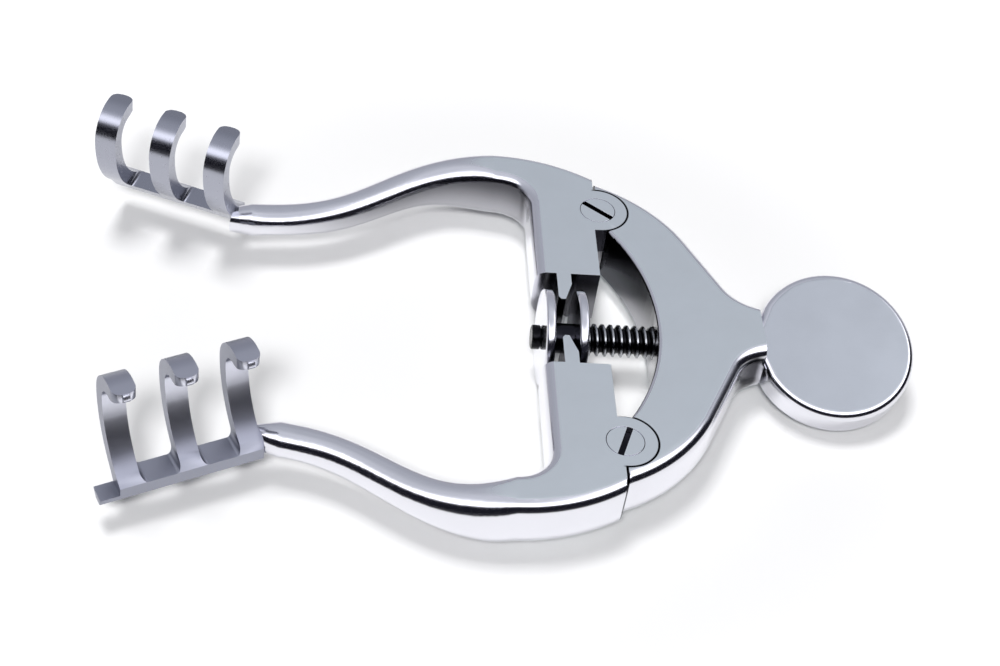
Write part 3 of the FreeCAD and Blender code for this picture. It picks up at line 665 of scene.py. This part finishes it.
# %% Floor
FLOOR_GAP = 0.05 * MM
FLOOR_LEVEL = min(spool_low.z, disc_low.z) - FLOOR_GAP
FLOOR_SIZE = 1.2
PAPER_COLOUR = (0.80, 0.80, 0.805)
PAPER_FLECK = (0.82, 0.82, 0.825)
FLECK_SCALE = 60.0
DARK_ROOM = (0.02, 0.02, 0.025)
GLOW_COLOUR = (0.97, 0.97, 1.0, 1.0)
PAPER_EDGE = (-40.0 * MM, -30.0 * MM)
SHADOW_REACH = (28.0 * MM, 62.0 * MM)
GLOW_CLOSE = 0.02
GLOW_FURTHER = 0.26
GLOW_MIRRORED = 0.10
middle = (cad_low + cad_high) / 2


def paper():
    """White paper that keeps its shadow, and that metal sees only up to the paper's edge."""
    material = new_material("pale floor")
    tree = material.node_tree
    place = node(tree, "ShaderNodeTexCoord", {}, {}, "Object")
    seen = node(tree, "ShaderNodeLightPath", {}, {}, "Is Camera Ray")
    mirrored = node(tree, "ShaderNodeLightPath", {}, {}, "Is Glossy Ray")
    reach = 1.0 - mirrored * (1.0 - smooth_mask(part_of(place, "Y"), *PAPER_EDGE))
    distance = length_of(moved(place, tuple(-middle), (1.0, 1.0, 0.0)))
    glow = seen * (GLOW_CLOSE + GLOW_FURTHER * smooth_mask(distance, *SHADOW_REACH))
    glow = glow + mirrored * GLOW_MIRRORED * reach
    colour = mixed(noise(place, FLECK_SCALE, 2.0), PAPER_COLOUR, PAPER_FLECK)
    colour = mixed(reach, DARK_ROOM, colour)
    matt = node(tree, "ShaderNodeBsdfDiffuse", {}, {"Color": colour})
    light = node(tree, "ShaderNodeEmission", {}, {"Color": GLOW_COLOUR, "Strength": glow})
    return close_material(material, node(tree, "ShaderNodeAddShader", {}, {0: matt, 1: light}))


floor_work = bmesh.new()
bmesh.ops.create_grid(floor_work, x_segments=1, y_segments=1, size=FLOOR_SIZE / 2)
bmesh.ops.translate(floor_work, verts=floor_work.verts, vec=(0.0, 0.0, FLOOR_LEVEL))
floor = as_object(floor_work, "pale_floor", paper())
print("floor level in mm:", round(FLOOR_LEVEL / MM, 2))

# %% Sky
# each stop is the sine of the height above the horizon, and the colour there
FAR_STOPS = [
    (0.00, (0.46, 0.46, 0.52)),
    (0.35, (0.42, 0.43, 0.48)),
    (0.62, (0.44, 0.46, 0.52)),
    (0.82, (0.54, 0.56, 0.62)),
    (0.96, (0.68, 0.70, 0.77)),
]
NEAR_STOPS = [
    (0.00, (0.01, 0.01, 0.015)),
    (0.60, (0.012, 0.012, 0.02)),
    (0.69, (2.40, 2.40, 2.55)),
    (0.85, (2.60, 2.60, 2.70)),
    (0.92, (1.20, 1.22, 1.30)),
    (0.98, (0.68, 0.70, 0.77)),
]
NEAR_TO_FAR = (-0.1, 0.3)
SKY_TURN = 0.45
SKY_LIGHT = 0.12
SKY_SHOWN = 0.88
WHITE = (1.0, 1.0, 1.0)

world = bpy.data.worlds.new("studio")
bpy.context.scene.world = world
world.use_nodes = True
sky = world.node_tree
sky.nodes.clear()
direction = node(sky, "ShaderNodeTexCoord", {}, {}, "Generated")
height = part_of(direction, "Z")
far_sky = node(sky, "ShaderNodeValToRGB", {"stops": FAR_STOPS}, {"Fac": height})
near_sky = node(sky, "ShaderNodeValToRGB", {"stops": NEAR_STOPS}, {"Fac": height})
depth = part_of(direction, "Y") - SKY_TURN * part_of(direction, "X")
gradient = mixed(smooth_mask(depth, *NEAR_TO_FAR), near_sky, far_sky)
camera_ray = node(sky, "ShaderNodeLightPath", {}, {}, "Is Camera Ray")
mirror_ray = node(sky, "ShaderNodeLightPath", {}, {}, "Is Glossy Ray")
shown = mixed(camera_ray, gradient, WHITE)
strength = SKY_LIGHT + SKY_SHOWN * mirror_ray + SKY_SHOWN * camera_ray
background = node(sky, "ShaderNodeBackground", {}, {"Color": shown, "Strength": strength})
sky_output = sky.nodes.new("ShaderNodeOutputWorld")
sky.links.new(background.socket, sky_output.inputs["Surface"])
print("sky stops:", len(FAR_STOPS), "and", len(NEAR_STOPS))

# %% [markdown]
# The two lamps light the paper and the object from the left and cast the soft shadow. They
# aren't mirrored in the metal: lamps as small as these would leave a hard sparkle on each small
# facet of the rods, and the white panel in the sky draws the highlights instead.


# %% Lamps
def soft_light(name, place, target, size, power):
    """A rectangular area light at a place, turned to a target."""
    lamp = bpy.data.lights.new(name, "AREA")
    lamp.shape = "RECTANGLE"
    lamp.size, lamp.size_y = size
    lamp.energy = power
    holder = bpy.data.objects.new(name, lamp)
    holder.location = place
    holder.rotation_mode = "QUATERNION"
    holder.rotation_quaternion = (Vector(target) - Vector(place)).to_track_quat("-Z", "Y")
    holder.visible_glossy = False
    bpy.context.scene.collection.objects.link(holder)


soft_light("key light", (-0.15, -0.54, 0.63), middle, size=(0.17, 0.13), power=4.84)
soft_light("left light", (-0.15, 0.05, 0.72), middle, size=(0.24, 0.18), power=3.1)
print("lamps placed")

# %% [markdown]
# ## Camera
# The camera stands where the photographer stood: about 44 degrees above the table, a little to
# the left of square, and 17 centimetres away.

# %% Camera
CAMERA_PLACE = Vector((-0.03837, -0.12469, 0.12492))
CAMERA_RIGHT = Vector((0.99191, -0.04680, 0.11840))
CAMERA_UP = Vector((-0.05150, 0.70290, 0.70940))
FOCAL_PIXELS = 2060.0
IMAGE_WIDTH = 1000.0
SENSOR_WIDTH = 36.0

camera_data = bpy.data.cameras.new("camera")
camera_data.sensor_width = SENSOR_WIDTH
camera_data.lens = SENSOR_WIDTH * FOCAL_PIXELS / IMAGE_WIDTH
camera_data.clip_start = 5.0 * MM
camera = bpy.data.objects.new("camera", camera_data)
bpy.context.scene.collection.objects.link(camera)
right = CAMERA_RIGHT.normalized()
up = (CAMERA_UP - right * CAMERA_UP.dot(right)).normalized()
back = right.cross(up)
camera.matrix_world = Matrix((
    (right.x, up.x, back.x, CAMERA_PLACE.x),
    (right.y, up.y, back.y, CAMERA_PLACE.y),
    (right.z, up.z, back.z, CAMERA_PLACE.z),
    (0.0, 0.0, 0.0, 1.0),
))
bpy.context.scene.camera = camera
bpy.context.scene.view_settings.view_transform = "Standard"
print("lens in mm:", round(camera_data.lens, 1))

# %% [markdown]
# ## Finish
# The view layer is brought up to date.

# %% Finish
bpy.context.view_layer.update()
